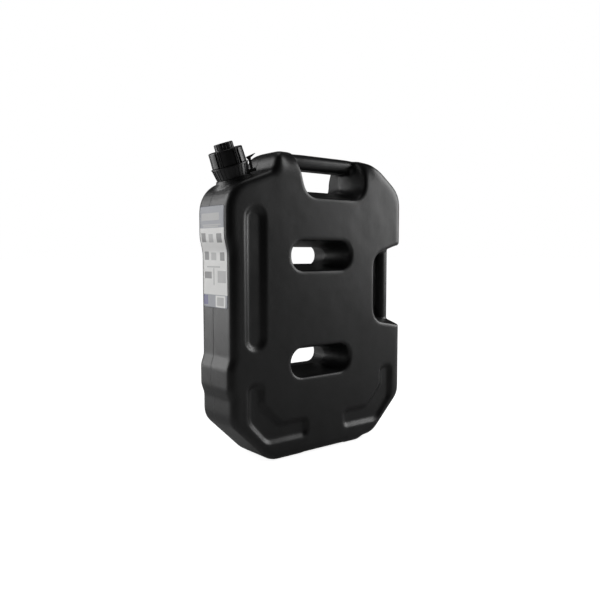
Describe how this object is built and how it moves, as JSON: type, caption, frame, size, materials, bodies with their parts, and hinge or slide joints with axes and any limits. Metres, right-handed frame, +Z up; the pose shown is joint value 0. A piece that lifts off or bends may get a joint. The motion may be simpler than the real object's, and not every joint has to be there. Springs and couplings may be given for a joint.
{
  "type": "fuel canister",
  "caption": "Flat upright fuel canister with rounded edges, a tilted neck under a ribbed screw cap, a top handle, a side grip and strap slots.",
  "frame": {"origin": "on the ground plane under the middle of the body", "axes": "+Z up, the broad faces look along -Y and +Y, the neck is at the -X side and the side grip at +X"},
  "size_m": [0.3502, 0.086, 0.4711],
  "materials": {
    "body_plastic": "black blow-moulded polyethylene with a satin grain",
    "cap_plastic": "black injection-moulded plastic, satin",
    "seal_rubber": "dark fuel-proof rubber",
    "label_film": "printed film in pale grey, blue grey and dark blue fields"
  },
  "bodies": {
    "can": {"canister_body": "body_plastic", "lock_collar": "cap_plastic", "side_label": "label_film"},
    "stopper": {"plug_turret": "cap_plastic", "plug_seal": "seal_rubber"},
    "ring": {"cap_ring": "cap_plastic"},
    "tab": {"release_tab": "cap_plastic"}
  },
  "joints": [
    {"name": "cap_rise", "type": "slide", "parent": "can", "child": "stopper", "axis": [-0.342, 0, 0.9397], "range_m": [0, 0.006]},
    {"name": "cap_turn", "type": "hinge", "parent": "stopper", "child": "ring", "pos_m": [-0.1365, 0, 0.415], "axis": [-0.342, 0, 0.9397], "range_deg": [0, 540]},
    {"name": "tab_flex", "type": "hinge", "parent": "can", "child": "tab", "pos_m": [-0.11464, -0.01242, 0.43285], "axis": [0.3971, 0.9063, 0.1445], "range_deg": [0, 10], "stiffness_Nm_per_rad": 0.3}
  ],
  "couplings": [
    {"joint": "cap_rise", "follows": "cap_turn", "m_per_rad": 0.000636}
  ]
}
